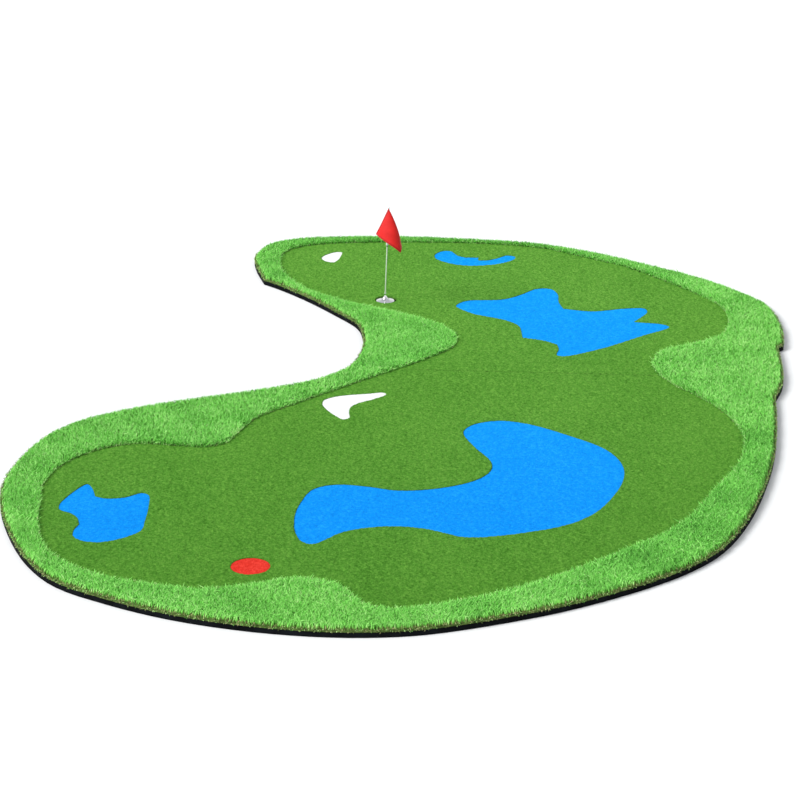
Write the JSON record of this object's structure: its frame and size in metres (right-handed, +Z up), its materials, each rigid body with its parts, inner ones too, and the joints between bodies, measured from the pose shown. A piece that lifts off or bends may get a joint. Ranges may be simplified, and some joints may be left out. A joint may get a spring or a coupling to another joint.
{
  "type": "practice putting mat",
  "caption": "Kidney-shaped indoor putting green of short turf with a longer turf fringe, coloured inlays, a cup and a swivelling flag on a weighted foot.",
  "frame": {"origin": "on the floor, under the middle of the mat's bounding box", "axes": "+Z is up through the pile; +Y runs from the tee end to the cup end, the mat's length; +X is across, away from the bay"},
  "size_m": [3.465, 4.675, 0.5076],
  "materials": {
    "foam": "matte",
    "putting_turf": "matte",
    "fringe_turf": "matte",
    "blue_turf": "matte",
    "white_turf": "matte",
    "red_turf": "matte",
    "foot_shell": "gloss",
    "foot_pad": "matte",
    "foot_weight": "satin",
    "stick": "satin",
    "collar": "satin",
    "tube": "satin",
    "flag_cloth": "matte"
  },
  "bodies": {
    "mat": {"base_panel_back_left": "foam", "base_panel_back_right": "foam", "base_panel_cup": "foam", "base_panel_pond": "foam", "base_panel_neck_left": "foam", "base_panel_neck_right": "foam", "base_panel_left": "foam", "base_panel_middle": "foam", "base_panel_right": "foam", "base_panel_front_left": "foam", "base_panel_front_middle": "foam", "base_panel_front_right": "foam", "putting_turf_back": "putting_turf", "putting_turf_front": "putting_turf", "fringe_back_left": "fringe_turf", "fringe_back_right": "fringe_turf", "fringe_right": "fringe_turf", "fringe_front_right": "fringe_turf", "fringe_front": "fringe_turf", "fringe_left_end": "fringe_turf", "fringe_left": "fringe_turf", "fringe_bay": "fringe_turf", "pond_big": "blue_turf", "pond_left": "blue_turf", "pond_back": "blue_turf", "pond_small": "blue_turf", "bunker_front": "white_turf", "bunker_back": "white_turf", "tee_disc": "red_turf"},
    "flag_foot": {"flag_foot_shell": "foot_shell", "flag_foot_pad": "foot_pad", "flag_foot_weight": "foot_weight"},
    "stick": {"flagstick": "stick", "stick_collar": "collar"},
    "flag_swivel": {"flag_tube": "tube", "tube_cap": "tube", "flag": "flag_cloth"}
  },
  "joints": [
    {"name": "foot_lift", "type": "slide", "parent": "mat", "child": "flag_foot", "axis": [0, 0, 1], "range_m": [0, 0.1]},
    {"name": "stick_lift", "type": "slide", "parent": "flag_foot", "child": "stick", "axis": [0.0384, 0, 0.9993], "range_m": [0, 0.06]},
    {"name": "flag_turn", "type": "hinge", "parent": "stick", "child": "flag_swivel", "pos_m": [-0.1718, 1.32831, 0.051], "axis": [0.0384, 0, 0.9993], "continuous": true}
  ]
}
